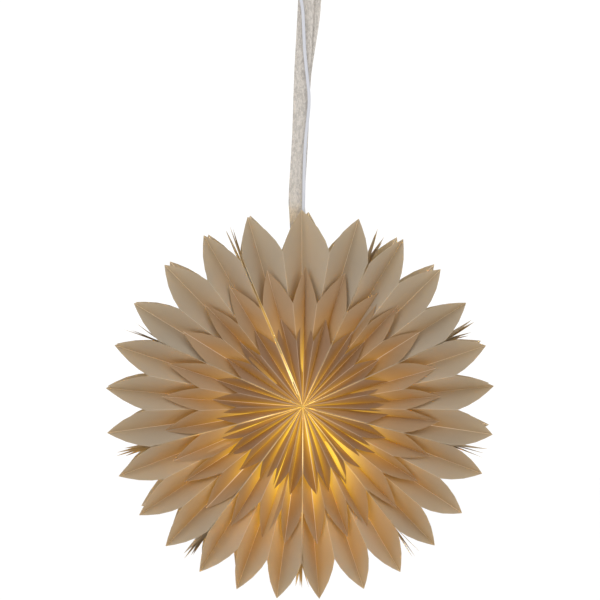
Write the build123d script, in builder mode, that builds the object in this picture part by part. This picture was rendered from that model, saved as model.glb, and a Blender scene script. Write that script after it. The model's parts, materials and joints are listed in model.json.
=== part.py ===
"""Paper snowflake star with a hanging ribbon and a lamp on its own cable.

Frame: +Z up, millimetres. The origin is where the hook carries the ribbon loop. The star hangs below it,
with its axis along Y and its front towards -Y. Angles round the axis start at +X and grow towards +Z.
"""

from build123d import *
from math import cos, pi, radians, sin, sqrt, tan
import os

os.makedirs("parts", exist_ok=True)

# ---------------------------------------------------------------- driving dimensions

star_x = -18.0  # the star's axis, to the left of the hook
star_z = -823.0  # the star's axis, below the hook

# Nine folded bags, clockwise from the top one. The weight opens the top bags and closes the lower ones.
closing_seam = 112.6  # angle of the seam where the first and the last bag meet
bag_spans = [47.7, 40.7, 39.0, 37.8, 37.4, 37.0, 37.9, 39.3]
bag_spans.append(360.0 - sum(bag_spans))
petals_per_bag = 3

paper = 0.55  # thickness of the pleated paper, taken along the star's axis: about 0.3 across a sloping face
wall_sheet = 0.25  # thickness of one bag's wall
glue_line = 0.05  # between the two walls of neighbouring bags
end_card = 0.5  # thickness of the two stiff end walls
pleat_clear = 0.3  # from a wall's face to the fold of the pleats beside it
hub_clear = 9.0  # radius where the folds of a pleat start
arch = 0.066  # height of a petal's arched edge, as a share of its chord

# Each tier: the depth of its folds at the axis, and where its hills (notches) and valleys (tips) end.
outer_tier = {"hub": 78.0, "notch": (237.0, 66.0), "tip": (300.0, 8.0)}
middle_tier = {"hub": 84.0, "notch": (157.0, 80.0), "tip": (213.0, 45.0)}
inner_tier = {"hub": 90.0, "notch": (100.0, 90.0), "tip": (137.0, 64.0)}
tiers = {"outer": outer_tier, "middle": middle_tier, "inner": inner_tier}

wall_tip = 295.0  # radius of a wall's point
wall_inner = 20.0  # radius of a wall's inner edge
wall_inner_depth = 86.0  # depth of that edge
lamp_room = (85.0, 45.0)  # the walls' opening for the lamp: its radius and its half depth

pad_length, pad_width, pad_thickness = 26.0, 20.0, 1.7  # one closure pad
pad_gap = 0.3  # between a hook pad and its loop pad
pad_places = [(214.0, -45.0), (98.0, -66.0)]  # radius and depth of the two closures

ribbon_width, ribbon_thickness = 25.0, 0.5
hook_radius = 6.0  # inside of the ribbon's loop
# Centre of each strand, downwards: sideways and depth in the frame, height in the frame.
ribbon_left = [
    (0.0, -6.25, -6.0),
    (-4.0, -5.2, -70.0),
    (-8.9, -2.6, -200.0),
    (-13.7, -1.8, -286.0),
    (-15.7, -1.4, -325.0),
    (-18.2, -1.2, -415.0),
    (-24.4, -1.1, -508.0),
    (-22.5, 1.2, -526.0),
    (-20.8, 13.0, -553.0),
    (-18.5, 21.2, -588.0),
]
ribbon_right = [
    (0.0, 6.25, -6.0),
    (2.0, 4.8, -70.0),
    (4.3, 1.6, -200.0),
    (-9.5, 0.2, -286.0),
    (-15.2, -0.5, -325.0),
    (-18.2, -0.4, -415.0),
    (-24.4, -0.3, -508.0),
    (-22.5, 2.2, -526.0),
    (-20.8, 14.0, -553.0),
    (-18.5, 22.2, -588.0),
]

cable = 5.0  # diameter of the lamp's cable
# The cable from the lamp holder up to the hand switch.
lamp_cable_route = [
    (-18.0, 0.0, -765.0),
    (-18.0, 0.0, -712.0),
    (-16.8, -3.2, -648.0),
    (-15.0, -4.4, -596.0),
    (-14.2, -4.7, -548.0),
    (-12.9, -4.6, -502.0),
    (-12.3, -4.4, -459.0),
    (-10.6, -4.3, -418.0),
    (-7.0, -4.5, -386.0),
    (-3.9, -4.7, -354.0),
    (-7.2, -4.8, -322.0),
    (-11.4, -5.4, -284.0),
    (-13.2, -6.2, -243.0),
    (-14.5, -8.4, -212.0),
    (-21.0, -12.0, -186.0),
    (-31.5, -16.2, -163.0),
    (-37.5, -18.5, -144.0),
    (-37.5, -18.5, -128.0),
]

coil_centre = (0.0, -26.0, -21.0)  # the coil hangs on the same hook, in front of the ribbon
coil_inner, coil_outer, coil_half_width = 20.0, 40.0, 10.0
coil_lane = 37.5  # radius where the cable joins and leaves the coil
coil_lane_depth = 7.5  # how far behind or before the coil's middle it does so
cable_butt = 0.3  # between a cable's end face and what it meets

switch_length, switch_width, switch_depth = 58.0, 27.0, 17.0
switch_wall = 1.6
rocker_length, rocker_width = 20.0, 11.0
rocker_gap = 0.4

plug_relief_length, plug_body_length, pin_length = 22.0, 36.0, 19.0
plug_width, plug_depth = 35.0, 13.6
plug_neck_width, plug_shoulder, plug_corner = 16.0, 19.8, 5.0
relief_end_wall, relief_root_wall = 0.9, 2.6
pin_diameter, pin_spacing, pin_chamfer = 4.0, 19.0, 0.8

holder_radius, holder_wall = 14.0, 1.5
grip_length, grip_top_radius, grip_root_radius = 20.0, 3.2, 4.6
cap_length, shell_length = 18.0, 34.0
cap_flat, cap_lip = 6.0, 5.0  # the cap's flat top: its radius; and the straight lip at its lower edge
grip_groove = 0.4  # radius of the rings cut round the holder's shell
bulb_radius, bulb_wall = 22.5, 0.8
collar_length, globe_drop = 17.0, 17.0  # the bulb's collar, and from its lower end to the globe's centre
screw_radius, screw_length = 6.95, 21.0
screw_gap = 0.3

# ---------------------------------------------------------------- places that follow from them

outlet_z = lamp_cable_route[0][2]
switch_bottom = lamp_cable_route[-1]
seam_gap = 2 * pad_thickness + pad_gap
wall_face = glue_line / 2 + wall_sheet

# Angle of each seam: the first is the closing seam, and each bag lies clockwise from its own.
seams = [closing_seam]
for span in bag_spans:
    seams.append(seams[-1] - span)


def at(angle, radius, depth):
    """A point of the star, from its angle, its distance from the axis and its depth."""
    return Vector(star_x + radius * cos(radians(angle)), depth, star_z + radius * sin(radians(angle)))


def seam_plane(angle, offset=0.0):
    """The half plane of a seam: local X leads outwards, local Y is the depth, Z the way of growing angles."""
    outwards = Vector(cos(radians(angle)), 0, sin(radians(angle)))
    onwards = Vector(-sin(radians(angle)), 0, cos(radians(angle)))
    return Plane(origin=Vector(star_x, 0, star_z) + onwards * offset, x_dir=outwards, z_dir=onwards)


def upright(x, y, z):
    """An upright plane that faces the front, for a profile that is turned about a vertical axis."""
    return Plane(origin=(x, y, z), x_dir=(1, 0, 0), z_dir=(0, -1, 0))


# ---------------------------------------------------------------- pleated paper


def face_outline(near_hill, notch, tip, near_valley):
    """The outline of one flat face of a pleat: two straight folds and an arched cut edge."""
    sheet = Plane(
        origin=near_valley,
        x_dir=tip - near_valley,
        z_dir=(tip - near_valley).cross(notch - near_valley),
    )
    start, end = sheet.to_local_coords(notch), sheet.to_local_coords(tip)
    chord = end - start
    out = Vector(-chord.Y, chord.X, 0).normalized()
    if out.dot((start + end) * 0.5) < 0:
        out = out * -1
    crown = (start + end) * 0.5 + out * (arch * chord.length)
    corners = [end, Vector(0, 0, 0)]
    if near_hill is not None:
        corners.append(sheet.to_local_coords(near_hill))
    corners.append(start)
    with BuildSketch(sheet) as outline:
        with BuildLine():
            ThreePointArc(start, crown, end)
            Polyline(*corners)
        make_face()
    return outline.sketch


def distance_from_seam(point, angle):
    onwards = Vector(-sin(radians(angle)), 0, cos(radians(angle)))
    return abs((point - Vector(star_x, 0, star_z)).dot(onwards))


def face_of_pleat(tier, hill_angle, tip_angle, offset):
    """One face of a pleat, whose hill fold stays an offset away from the seam at hill_angle."""
    notch_radius, notch_depth = tier["notch"]
    tip_radius, tip_depth = tier["tip"]
    share = hub_clear / notch_radius
    near_hill = at(hill_angle, hub_clear, -(tier["hub"] + (notch_depth - tier["hub"]) * share))
    share = hub_clear / tip_radius
    near_valley = at(tip_angle, hub_clear, -(tier["hub"] + (tip_depth - tier["hub"]) * share))
    notch = at(hill_angle, notch_radius, -notch_depth)
    tip = at(tip_angle, tip_radius, -tip_depth)
    if offset > 0:
        notch = notch + (tip - notch) * (offset / distance_from_seam(tip, hill_angle))
        near_distance = distance_from_seam(near_valley, hill_angle)
        if offset < near_distance:
            near_hill = near_hill + (near_valley - near_hill) * (offset / near_distance)
        else:
            rest = distance_from_seam(tip, hill_angle) - near_distance
            near_valley = near_valley + (tip - near_valley) * ((offset - near_distance) / rest)
            near_hill = None
    return face_outline(near_hill, notch, tip, near_valley)


def pleats(bag, tier):
    """The front and back strips of one tier of one bag, each folded into pointed petals."""
    first, last = seams[bag], seams[bag + 1]
    step = (last - first) / petals_per_bag
    first_offset = seam_gap + end_card + pleat_clear if bag == 0 else wall_face + pleat_clear
    last_offset = end_card + pleat_clear if bag == len(bag_spans) - 1 else wall_face + pleat_clear
    with BuildPart() as strip:
        for petal in range(petals_per_bag):
            tip_angle = first + (petal + 0.5) * step
            before = first_offset if petal == 0 else 0.0
            after = last_offset if petal == petals_per_bag - 1 else 0.0
            one_side = face_of_pleat(tier, first + petal * step, tip_angle, before)
            other_side = face_of_pleat(tier, first + (petal + 1) * step, tip_angle, after)
            extrude(one_side, paper / 2, dir=(0, 1, 0), both=True)
            extrude(other_side, paper / 2, dir=(0, 1, 0), both=True)
        mirror(about=Plane.XZ)
    return strip.part


for bag in range(len(bag_spans)):
    for tier_name, tier in tiers.items():
        piece = pleats(bag, tier)
        piece.label = f"{tier_name}_pleats_{bag + 1}"
        export_step(piece, f"parts/{piece.label}.step")


# ---------------------------------------------------------------- walls between the bags


def hill_depth(tier, radius):
    return tier["hub"] + (tier["notch"][1] - tier["hub"]) * radius / tier["notch"][0]


def wall_outline(plane, inner=wall_inner):
    """A leaf with small shoulders where the inner and middle tiers end, open at the axis for the lamp."""
    shoulder = 0.35
    middle_start = inner_tier["notch"][0] + shoulder * (inner_tier["tip"][0] - inner_tier["notch"][0])
    outer_start = middle_tier["notch"][0] + shoulder * (middle_tier["tip"][0] - middle_tier["notch"][0])
    edge = [
        (inner, wall_inner_depth),
        inner_tier["notch"],
        (middle_start, hill_depth(middle_tier, middle_start)),
        middle_tier["notch"],
        (outer_start, hill_depth(outer_tier, outer_start)),
        outer_tier["notch"],
    ]
    notch_radius, notch_depth = outer_tier["notch"]
    chord = Vector(wall_tip - notch_radius, -notch_depth, 0)
    crown = Vector((wall_tip + notch_radius) / 2, notch_depth / 2, 0)
    crown = crown + Vector(notch_depth, chord.X, 0).normalized() * (arch * chord.length)
    with BuildSketch(plane) as outline:
        with BuildLine():
            Polyline(*[(radius, -depth) for radius, depth in edge])
            ThreePointArc((notch_radius, -notch_depth), (crown.X, -crown.Y), (wall_tip, 0))
            ThreePointArc((wall_tip, 0), (crown.X, crown.Y), (notch_radius, notch_depth))
            Polyline(*reversed(edge))
            Line(edge[0], (edge[0][0], -edge[0][1]))
        make_face()
        Ellipse(*lamp_room, mode=Mode.SUBTRACT)
    return outline.sketch


for seam in range(1, len(bag_spans)):
    with BuildPart() as wall:
        extrude(wall_outline(seam_plane(seams[seam], glue_line / 2)), wall_sheet)
        extrude(wall_outline(seam_plane(seams[seam], -glue_line / 2)), -wall_sheet)
    wall.part.label = f"glued_wall_{seam}"
    export_step(wall.part, f"parts/{wall.part.label}.step")

# The first end wall stands beside the seam's own plane, so it starts further out, where the pleats end on it.
half_petal = radians(bag_spans[0] / petals_per_bag / 2)
first_wall_inner = (seam_gap + end_card + pleat_clear) / sin(half_petal) + 2.0
with BuildPart() as end_wall_first:
    extrude(wall_outline(seam_plane(closing_seam, -seam_gap), first_wall_inner), -end_card)
end_wall_first.part.label = "end_wall_first"
export_step(end_wall_first.part, "parts/end_wall_first.step")

with BuildPart() as end_wall_last:
    extrude(wall_outline(seam_plane(closing_seam)), end_card)
end_wall_last.part.label = "end_wall_last"
export_step(end_wall_last.part, "parts/end_wall_last.step")

with BuildPart() as hook_pads:
    with BuildSketch(seam_plane(closing_seam, -seam_gap)):
        with Locations(*pad_places):
            RectangleRounded(pad_length, pad_width, 3)
    extrude(amount=pad_thickness)
hook_pads.part.label = "closure_hook_pads"
export_step(hook_pads.part, "parts/closure_hook_pads.step")

with BuildPart() as loop_pads:
    with BuildSketch(seam_plane(closing_seam)):
        with Locations(*pad_places):
            RectangleRounded(pad_length, pad_width, 3)
    extrude(amount=-pad_thickness)
loop_pads.part.label = "closure_loop_pads"
export_step(loop_pads.part, "parts/closure_loop_pads.step")

# ---------------------------------------------------------------- ribbon


def strand_sections(centres):
    sections = []
    for centre in centres:
        with BuildSketch(Plane(origin=centre, x_dir=(1, 0, 0), z_dir=(0, 0, 1))) as section:
            Rectangle(ribbon_width, ribbon_thickness)
        sections.append(section.sketch)
    return sections


with BuildPart() as ribbon:
    loft(sections=strand_sections(ribbon_left), ruled=True)
    loft(sections=strand_sections(ribbon_right), ruled=True)
    with BuildSketch(Plane(origin=(-ribbon_width / 2, 0, -hook_radius), x_dir=(0, 1, 0), z_dir=(1, 0, 0))):
        Circle(hook_radius + ribbon_thickness)
        Circle(hook_radius, mode=Mode.SUBTRACT)
        with Locations((0, -hook_radius)):
            Rectangle(4 * hook_radius, 2 * hook_radius, mode=Mode.SUBTRACT)
    extrude(amount=ribbon_width)
ribbon.part.label = "ribbon"
export_step(ribbon.part, "parts/ribbon.step")

# ---------------------------------------------------------------- cable


def tube_path(points):
    """Straight runs joined by arcs as large as their runs allow, and the arcs' radii."""
    points = [Vector(*point) for point in points]
    radii = []
    for before, corner, after in zip(points, points[1:], points[2:]):
        turn = radians((corner - before).get_angle(after - corner))
        run = min((corner - before).length, (after - corner).length)
        radii.append(0.45 * run / tan(turn / 2))
    return points, radii


lamp_cable_points, lamp_cable_radii = tube_path(lamp_cable_route)
print("lamp cable: smallest arc", round(min(lamp_cable_radii), 1), "mm")
with BuildPart() as lamp_cable:
    with BuildLine() as lamp_cable_line:
        FilletPolyline(*lamp_cable_points, radius=lamp_cable_radii)
    with BuildSketch(Plane(origin=lamp_cable_line.line @ 0, z_dir=lamp_cable_line.line % 0)):
        Circle(cable / 2)
    sweep()
lamp_cable.part.label = "lamp_cable"
export_step(lamp_cable.part, "parts/lamp_cable.step")
lamp_cable_length = sum(edge.length for edge in lamp_cable_line.edges())
print("lamp cable:", round(lamp_cable_length, 1), "mm long, tube volume over section times length",
      round(lamp_cable.part.volume / (pi * cable**2 / 4 * lamp_cable_length), 4))

# The coil: one closed ring that the turns of the spare cable fill.
with BuildPart() as cable_coil:
    with BuildSketch(upright(*coil_centre)):
        Circle(coil_outer)
        Circle(coil_inner, mode=Mode.SUBTRACT)
    extrude(amount=coil_half_width, both=True)
    fillet(cable_coil.edges(), 3.0)
cable_coil.part.label = "cable_coil"
export_step(cable_coil.part, "parts/cable_coil.step")

# Where the upright stretches of cable meet the ring: under its rounded side, on their inner edge.
ring_reach = sqrt(coil_outer**2 - (coil_lane - cable / 2) ** 2)
riser_top = coil_centre[2] - ring_reach - cable_butt
riser_x, riser_y = coil_centre[0] - coil_lane, coil_centre[1] + coil_lane_depth
tail_x, tail_y = coil_centre[0] + coil_lane, coil_centre[1] - coil_lane_depth
switch_top = switch_bottom[2] + switch_length
plug_top = riser_top - 26.0

with BuildPart() as cable_riser:
    with BuildSketch(Plane.XY.offset(switch_top)):
        with Locations((riser_x, riser_y)):
            Circle(cable / 2)
    extrude(amount=riser_top - switch_top)
cable_riser.part.label = "plug_cable_riser"
export_step(cable_riser.part, "parts/plug_cable_riser.step")

with BuildPart() as cable_tail:
    with BuildSketch(Plane.XY.offset(plug_top)):
        with Locations((tail_x, tail_y)):
            Circle(cable / 2)
    extrude(amount=riser_top - plug_top)
cable_tail.part.label = "plug_cable_tail"
export_step(cable_tail.part, "parts/plug_cable_tail.step")

# A tie round the bundle, at the bottom of the coil. The ring curves across its width, so it is a little taller.
tie_thickness, tie_width, tie_gap, tie_rise = 1.2, 10.0, 0.3, 1.2
bundle_depth = 2 * coil_half_width + 2 * tie_gap
bundle_height = coil_outer - coil_inner + 2 * tie_gap + tie_rise
tie_middle = (coil_centre[0] - tie_width / 2, coil_centre[1], coil_centre[2] - (coil_inner + coil_outer) / 2)
with BuildPart() as coil_tie:
    with BuildSketch(Plane(origin=tie_middle, x_dir=(0, 1, 0), z_dir=(1, 0, 0))):
        RectangleRounded(bundle_depth + 2 * tie_thickness, bundle_height + 2 * tie_thickness, 3.5)
        RectangleRounded(bundle_depth, bundle_height, 2.3, mode=Mode.SUBTRACT)
    extrude(amount=tie_width)
coil_tie.part.label = "coil_tie"
export_step(coil_tie.part, "parts/coil_tie.step")

# ---------------------------------------------------------------- hand switch

switch_plane = Plane(
    origin=(riser_x, riser_y, switch_bottom[2] + switch_length / 2), x_dir=(1, 0, 0), z_dir=(0, -1, 0)
)
half_depth = switch_depth / 2


def switch_shell(side):
    """Half of the housing, hollow, with a half-round mouth for the cable at each end."""
    with BuildPart() as shell:
        with BuildSketch(switch_plane):
            RectangleRounded(switch_width, switch_length, 8)
        extrude(amount=side * half_depth)
        outer_face = shell.faces().sort_by(Axis.Y)[0 if side > 0 else -1]
        fillet(outer_face.edges(), 4.0)
        with BuildSketch(switch_plane):
            RectangleRounded(switch_width - 2 * switch_wall, switch_length - 2 * switch_wall - 8, 5)
        extrude(amount=side * (half_depth - switch_wall), mode=Mode.SUBTRACT)
    return shell.part


front_shell = switch_shell(1)
with BuildPart() as switch_front:
    add(front_shell)
    with BuildSketch(switch_plane):
        RectangleRounded(rocker_width + 2 * rocker_gap, rocker_length + 2 * rocker_gap, 2)
    extrude(amount=switch_depth, mode=Mode.SUBTRACT)
switch_front.part.label = "switch_front_shell"
export_step(switch_front.part, "parts/switch_front_shell.step")

back_shell = switch_shell(-1)
back_shell.label = "switch_back_shell"
export_step(back_shell, "parts/switch_back_shell.step")

# The rocker turns about a sideways pin line, a little in front of the housing's middle. It stands pressed in
# at its lower end, where the lamp is on.
rocker_pin = 1.5
rocker_tilt = 7.0
rocker_face = half_depth + 1.6 - rocker_pin
rocker_dip = half_depth + 0.2 - rocker_pin
rocker_half = rocker_length / 2 - 1.2
pin_line = switch_plane.origin - Vector(rocker_width / 2, rocker_pin, 0)
tilted = Vector(0, cos(radians(rocker_tilt)), sin(radians(rocker_tilt)))
with BuildPart() as rocker:
    with BuildSketch(Plane(origin=pin_line, x_dir=tilted, z_dir=(1, 0, 0))):
        with BuildLine():
            ThreePointArc((-rocker_face, rocker_half), (-rocker_dip, 0), (-rocker_face, -rocker_half))
            Polyline(
                (-rocker_face, -rocker_half),
                (2, 2.5 - rocker_half),
                (2, rocker_half - 2.5),
                (-rocker_face, rocker_half),
            )
        make_face()
    extrude(amount=rocker_width)
rocker.part.label = "switch_rocker"
export_step(rocker.part, "parts/switch_rocker.step")

# ---------------------------------------------------------------- plug

with BuildPart() as plug_relief:
    with BuildSketch(Plane.XY.offset(plug_top)):
        with Locations((tail_x, tail_y)):
            Circle(cable / 2 + relief_end_wall)
    with BuildSketch(Plane.XY.offset(plug_top - plug_relief_length)):
        with Locations((tail_x, tail_y)):
            Circle(cable / 2 + relief_root_wall)
    loft()
plug_relief.part.label = "plug_strain_relief"
export_step(plug_relief.part, "parts/plug_strain_relief.step")

plug_body_top = plug_top - plug_relief_length
with BuildPart() as plug_body:
    with BuildSketch(Plane.XY.offset(plug_body_top)):
        with Locations((tail_x, tail_y)):
            RectangleRounded(plug_neck_width, plug_depth - 1, plug_corner)
    with BuildSketch(Plane.XY.offset(plug_body_top - plug_shoulder)):
        with Locations((tail_x, tail_y)):
            RectangleRounded(plug_width, plug_depth, plug_corner)
    with BuildSketch(Plane.XY.offset(plug_body_top - plug_body_length)):
        with Locations((tail_x, tail_y)):
            RectangleRounded(plug_width, plug_depth, plug_corner)
    loft(ruled=True)
plug_body.part.label = "plug_body"
export_step(plug_body.part, "parts/plug_body.step")

with BuildPart() as plug_pins:
    with BuildSketch(Plane.XY.offset(plug_body_top - plug_body_length)):
        with Locations((tail_x, tail_y)):
            with GridLocations(pin_spacing, 1, 2, 1):
                Circle(pin_diameter / 2)
    extrude(amount=-pin_length)
    chamfer(plug_pins.faces().sort_by(Axis.Z)[:2].edges(), pin_chamfer)
plug_pins.part.label = "plug_pins"
export_step(plug_pins.part, "parts/plug_pins.step")

# ---------------------------------------------------------------- lamp

lamp_plane = upright(star_x, 0, star_z)
lamp_axis = Axis((star_x, 0, star_z), (0, 0, 1))
grip_top = outlet_z - star_z
cap_top = grip_top - grip_length
shell_top = cap_top - cap_length
shell_bottom = shell_top - shell_length
liner_radius = holder_radius - holder_wall
screw_top = shell_top - 8.0
screw_bottom = screw_top - screw_length
pitch = 2.82  # of the small lamp thread

with BuildPart() as holder_grip:
    with BuildSketch(lamp_plane):
        Polygon(
            (0, grip_top),
            (grip_top_radius, grip_top),
            (grip_root_radius, cap_top),
            (0, cap_top),
            align=None,
        )
    revolve(axis=lamp_axis)
holder_grip.part.label = "holder_cable_grip"
export_step(holder_grip.part, "parts/holder_cable_grip.step")

with BuildPart() as holder_cap:
    with BuildSketch(lamp_plane):
        with BuildLine():
            Line((0, cap_top), (cap_flat, cap_top))
            ThreePointArc((cap_flat, cap_top), (11.8, cap_top - 4.6), (holder_radius, shell_top + cap_lip))
            Polyline(
                (holder_radius, shell_top + cap_lip),
                (holder_radius, shell_top),
                (liner_radius, shell_top),
                (liner_radius, shell_top + cap_lip),
                (cap_flat, cap_top - holder_wall),
                (0, cap_top - holder_wall),
                (0, cap_top),
            )
        make_face()
    revolve(axis=lamp_axis)
holder_cap.part.label = "holder_cap"
export_step(holder_cap.part, "parts/holder_cap.step")

with BuildPart() as holder_shell:
    with BuildSketch(lamp_plane):
        with Locations(((holder_radius + liner_radius) / 2, (shell_top + shell_bottom) / 2)):
            Rectangle(holder_wall, shell_top - shell_bottom)
        for ring in (0.25, 0.5, 0.75):
            with Locations((holder_radius, shell_bottom + ring * (shell_top - shell_bottom))):
                Circle(grip_groove, mode=Mode.SUBTRACT)
    revolve(axis=lamp_axis)
holder_shell.part.label = "holder_shell"
export_step(holder_shell.part, "parts/holder_shell.step")

with BuildPart() as holder_insert:
    with BuildSketch(lamp_plane):
        Polygon(
            (0, shell_top),
            (liner_radius, shell_top),
            (liner_radius, shell_bottom + 3),
            (screw_radius + screw_gap, shell_bottom + 3),
            (screw_radius + screw_gap, screw_top + 2.4),
            (0, screw_top + 2.4),
            align=None,
        )
    revolve(axis=lamp_axis)
holder_insert.part.label = "holder_insert"
export_step(holder_insert.part, "parts/holder_insert.step")

with BuildPart() as bulb_contact:
    with BuildSketch(lamp_plane):
        Polygon((0, screw_top + 2.1), (2.5, screw_top + 2.1), (3.5, screw_top), (0, screw_top), align=None)
    revolve(axis=lamp_axis)
bulb_contact.part.label = "bulb_contact"
export_step(bulb_contact.part, "parts/bulb_contact.step")

with BuildPart() as bulb_screw:
    turns = 5
    thread_start = screw_top - 2.0
    profile = [(0, screw_top), (4.5, screw_top)]
    for turn in range(turns):
        profile.append((screw_radius - 0.7, thread_start - turn * pitch))
        profile.append((screw_radius, thread_start - (turn + 0.5) * pitch))
    profile += [(screw_radius - 0.4, screw_bottom), (0, screw_bottom)]
    with BuildSketch(lamp_plane):
        Polygon(*profile, align=None)
    revolve(axis=lamp_axis)
bulb_screw.part.label = "bulb_screw_shell"
export_step(bulb_screw.part, "parts/bulb_screw_shell.step")

collar_bottom = screw_bottom - collar_length
globe_centre = collar_bottom - globe_drop
globe_neck = sqrt(bulb_radius**2 - (collar_bottom - globe_centre) ** 2)
with BuildPart() as bulb_collar:
    with BuildSketch(lamp_plane):
        with BuildLine():
            Line((0, screw_bottom), (screw_radius - 0.4, screw_bottom))
            Line((screw_radius - 0.4, screw_bottom), (screw_radius, shell_bottom))
            Spline(
                (screw_radius, shell_bottom),
                (globe_neck, collar_bottom),
                tangents=[(0.9, -0.3), (0.25, -1)],
            )
            Line((globe_neck, collar_bottom), (0, collar_bottom))
            Line((0, collar_bottom), (0, screw_bottom))
        make_face()
    revolve(axis=lamp_axis)
bulb_collar.part.label = "bulb_collar"
export_step(bulb_collar.part, "parts/bulb_collar.step")

with BuildPart() as bulb_globe:
    with BuildSketch(lamp_plane):
        with Locations((0, globe_centre)):
            Circle(bulb_radius)
            Circle(bulb_radius - bulb_wall, mode=Mode.SUBTRACT)
        with Locations((0, collar_bottom + bulb_radius)):
            Rectangle(4 * bulb_radius, 2 * bulb_radius, mode=Mode.SUBTRACT)
        with Locations((-bulb_radius, globe_centre)):
            Rectangle(2 * bulb_radius, 4 * bulb_radius, mode=Mode.SUBTRACT)
    revolve(axis=lamp_axis)
bulb_globe.part.label = "bulb_globe"
export_step(bulb_globe.part, "parts/bulb_globe.step")

print("globe centre above the axis:", round(globe_centre, 1), "lowest:", round(globe_centre - bulb_radius, 1))
print("rocker's pin line:", pin_line)
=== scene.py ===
"""Paper star with a lamp inside, hung by a ribbon loop: its looks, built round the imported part.

Every length is in metres, in the part's own frame: +Z up, the star's front towards -Y.
"""

import json
import math
import random

import bpy
import numpy as np
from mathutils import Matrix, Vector


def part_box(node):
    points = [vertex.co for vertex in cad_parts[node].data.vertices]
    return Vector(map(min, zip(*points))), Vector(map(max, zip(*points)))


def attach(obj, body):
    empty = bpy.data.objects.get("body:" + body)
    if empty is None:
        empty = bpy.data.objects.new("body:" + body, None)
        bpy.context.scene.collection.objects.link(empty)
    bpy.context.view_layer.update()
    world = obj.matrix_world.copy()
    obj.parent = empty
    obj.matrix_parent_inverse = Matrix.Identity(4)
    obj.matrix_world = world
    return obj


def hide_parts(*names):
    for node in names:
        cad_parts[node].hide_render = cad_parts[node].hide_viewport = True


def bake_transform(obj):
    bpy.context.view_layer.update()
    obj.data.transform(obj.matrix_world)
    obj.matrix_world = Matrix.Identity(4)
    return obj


bl_info = {
    "name": "Pleated Paper Star",
    "version": (1, 0, 0),
    "blender": (4, 5, 0),
    "location": "View3D > Sidebar > Paper Star",
    "description": "Builds a hanging star of pleated paper bags with its ribbon, lamp, cable, switch and plug",
    "category": "Object",
}

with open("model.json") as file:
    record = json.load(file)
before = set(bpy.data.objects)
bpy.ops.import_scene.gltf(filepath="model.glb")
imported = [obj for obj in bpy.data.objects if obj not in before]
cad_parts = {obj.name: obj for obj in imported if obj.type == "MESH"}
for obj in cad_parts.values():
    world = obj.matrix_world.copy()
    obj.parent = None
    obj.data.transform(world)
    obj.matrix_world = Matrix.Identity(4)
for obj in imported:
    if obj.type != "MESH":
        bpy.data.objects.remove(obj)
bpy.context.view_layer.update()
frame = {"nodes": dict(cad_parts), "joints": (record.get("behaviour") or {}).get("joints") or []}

BAGS = 9
PETALS = 3  # in each bag
PANELS = 2 * PETALS
HUB = Vector(next(joint["pos_m"] for joint in frame["joints"] if joint["name"] == "fold_2"))

# Each tier: the depth of its folds at the axis, the radius and depth of its hills and of its tips, how far a
# bag's petals are gathered towards its middle, how loosely they hang, and the lamplight painted on it as a
# glow: how strong that is, the distance over which it fades, how far it dims towards the tips, and its share
# on the hills.
TIERS = {
    "outer": {
        "hub": 0.078, "hill": (0.237, 0.066), "tip": (0.300, 0.008), "arch": 0.066, "gather": 1.0,
        "loose": 1.0, "lit": 7.0, "fade": 0.045, "dims": 0.0, "ridge": 0.6,
    },
    "middle": {
        "hub": 0.084, "hill": (0.157, 0.080), "tip": (0.213, 0.045), "arch": 0.050, "gather": 0.95,
        "loose": 1.9, "lit": 6.5, "fade": 0.058, "dims": 0.92, "ridge": 0.85,
    },
    "inner": {
        "hub": 0.090, "hill": (0.100, 0.090), "tip": (0.137, 0.064), "arch": 0.034, "gather": 0.90,
        "loose": 1.7, "lit": 2.0, "fade": 0.065, "dims": 0.7, "ridge": 0.2,
    },
}
BACK_RISE = 0.0055  # how much higher the back petals' tips hang than the front ones
TOP_BAG_SPREAD = 1.06  # the ribbon pulls the top bag's outer petals apart
FLOOR_LEVEL = -1.75
LAMP_DROP = 0.043  # from the star's axis down to the middle of the globe
HUB_CLEAR = 0.0025  # radius where the pleats' folds start
WALL_TIP = 0.295
WALL_INNER, WALL_INNER_DEPTH = 0.020, 0.086
LAMP_ROOM = (0.085, 0.045)  # the walls' opening for the lamp
WALL_EDGE_STEPS, LEAF_ROWS = 8, 12
LOOSE_FROM = 0.215  # radius from which a wall's sheets come away from one another
CURL_DEPTH = 0.07  # depth at which a loose sheet's curl has its full size
LEAF_SHEET, CARD_SHEET = 0.00012, 0.00022  # thickness of a wall's leaf and of an end card's
WALL_FADE = 0.085  # distance over which the lamplight fades along a wall
PATCH_RATE, PATCH_SHIFT = 62, 3  # how closely a wall's lit patches follow one another, and where they start
PLEAT_CLEAR = 0.00075  # from a seam to the fold of the pleats beside it
FIRST_CLEAR, LAST_CLEAR = 0.0030, 0.0010  # the same beside the first and the last end card
# The glow of a bag's panels is painted light, given panel by panel: every other panel is bright, and past
# SIDE_CHANGE the others are.
BRIGHT_PANEL, DIM_PANEL, SIDE_CHANGE = (1.0, 1.35), (0.25, 0.7), 5
BACK_SHORT = (0.002, 0.009)  # how much shorter the back petals are
BACK_STRAY = 1.6  # how much further the back petals stray than the front ones
RIBBON_HALF = 0.00025  # half of the ribbon's thickness where it goes over the hook

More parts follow.
